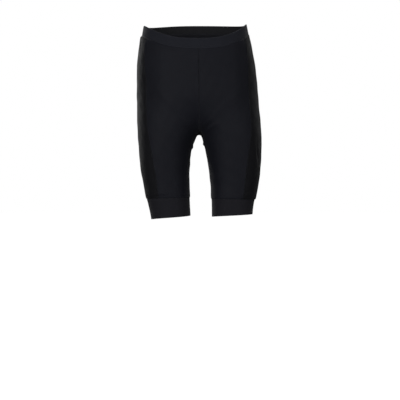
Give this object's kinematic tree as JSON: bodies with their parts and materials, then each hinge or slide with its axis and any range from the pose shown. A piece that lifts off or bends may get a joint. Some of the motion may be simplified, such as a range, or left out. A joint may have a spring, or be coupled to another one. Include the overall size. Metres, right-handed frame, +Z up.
{
  "type": "cycling shorts",
  "caption": "Close-fitting knee-length stretch shorts with an elastic waistband and folded leg bands, hollow and filled out as worn.",
  "frame": {"origin": "middle of the waist opening, level with the waist edge at the side seams, where the wearer's waist holds the shorts", "axes": "+Z up the wearer, the front faces -Y, the wearer's left is +X"},
  "size_m": [0.35, 0.2464, 0.5572],
  "materials": {
    "knit": "black stretch knit with a soft sheen",
    "band": "matte black elastic knit"
  },
  "bodies": {
    "root": {"waistband": "band", "front_panel_left": "knit", "front_panel_right": "knit", "side_panel_left": "knit", "side_panel_right": "knit", "back_panel_left": "knit", "back_panel_right": "knit", "leg_band_left": "band", "leg_band_right": "band"}
  },
  "joints": []
}
